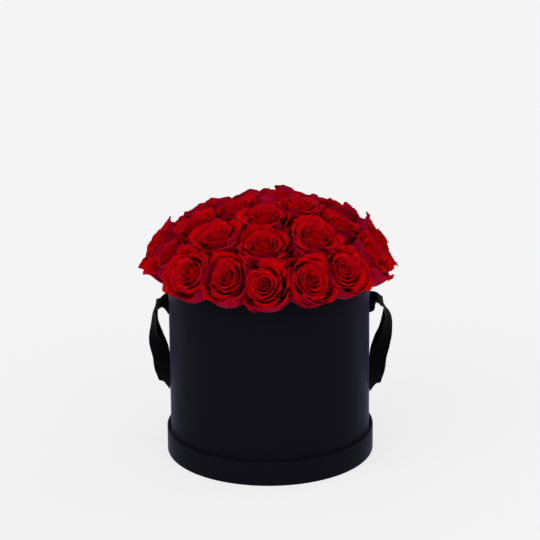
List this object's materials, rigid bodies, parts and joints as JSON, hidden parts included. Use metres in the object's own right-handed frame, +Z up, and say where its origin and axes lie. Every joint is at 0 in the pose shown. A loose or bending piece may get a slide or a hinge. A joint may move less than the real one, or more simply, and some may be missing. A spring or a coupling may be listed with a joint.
{
  "type": "flower box",
  "caption": "Round black board flower box standing in its upturned lid, filled with a dome of red rose heads, with a ribbon loop handle on each side.",
  "frame": {"origin": "centre of the lid's underside, on the surface the box stands on", "axes": "+Z up, front towards -Y, ribbon handles at +X and -X"},
  "size_m": [0.2492, 0.2516, 0.2614],
  "materials": {
    "box_board": "rigid board wrapped in matte black laminated paper",
    "lid_board": "rigid board wrapped in matte black laminated paper",
    "rose_petal": "velvety preserved rose petal, deep red",
    "ribbon": "black woven satin-edge ribbon",
    "dry_foam": "matte green floral foam",
    "liner_film": "thin waterproof liner",
    "stem_green": "cut green rose stem"
  },
  "bodies": {
    "tray": {"lid_panel": "lid_board", "lid_rim": "lid_board"},
    "box": {"box_base": "box_board", "box_wall": "box_board", "foam_liner": "liner_film", "foam_block": "dry_foam", "ribbon_ends_left": "ribbon", "ribbon_ends_right": "ribbon", "stems_lower": "stem_green", "stems_middle": "stem_green", "stems_top": "stem_green", "rose_lower_01": "rose_petal", "rose_lower_02": "rose_petal", "rose_lower_03": "rose_petal", "rose_lower_04": "rose_petal", "rose_lower_05": "rose_petal", "rose_lower_06": "rose_petal", "rose_lower_07": "rose_petal", "rose_lower_08": "rose_petal", "rose_lower_09": "rose_petal", "rose_lower_10": "rose_petal", "rose_lower_11": "rose_petal", "rose_lower_12": "rose_petal", "rose_lower_13": "rose_petal", "rose_lower_14": "rose_petal", "rose_lower_15": "rose_petal", "rose_middle_01": "rose_petal", "rose_middle_02": "rose_petal", "rose_middle_03": "rose_petal", "rose_middle_04": "rose_petal", "rose_middle_05": "rose_petal", "rose_middle_06": "rose_petal", "rose_middle_07": "rose_petal", "rose_middle_08": "rose_petal", "rose_middle_09": "rose_petal", "rose_top_01": "rose_petal", "rose_top_02": "rose_petal", "rose_top_03": "rose_petal", "rose_top_04": "rose_petal"},
    "loop_left": {"ribbon_loop_left": "ribbon"},
    "loop_right": {"ribbon_loop_right": "ribbon"}
  },
  "joints": [
    {"name": "box_lift", "type": "slide", "parent": "tray", "child": "box", "axis": [0, 0, 1], "range_m": [0, 0.06]},
    {"name": "handle_left_swing", "type": "hinge", "parent": "box", "child": "loop_left", "pos_m": [-0.114, 0, 0.1534], "axis": [0, 1, 0], "range_deg": [0, 120]},
    {"name": "handle_right_swing", "type": "hinge", "parent": "box", "child": "loop_right", "pos_m": [0.114, 0, 0.1534], "axis": [0, -1, 0], "range_deg": [0, 120]}
  ]
}
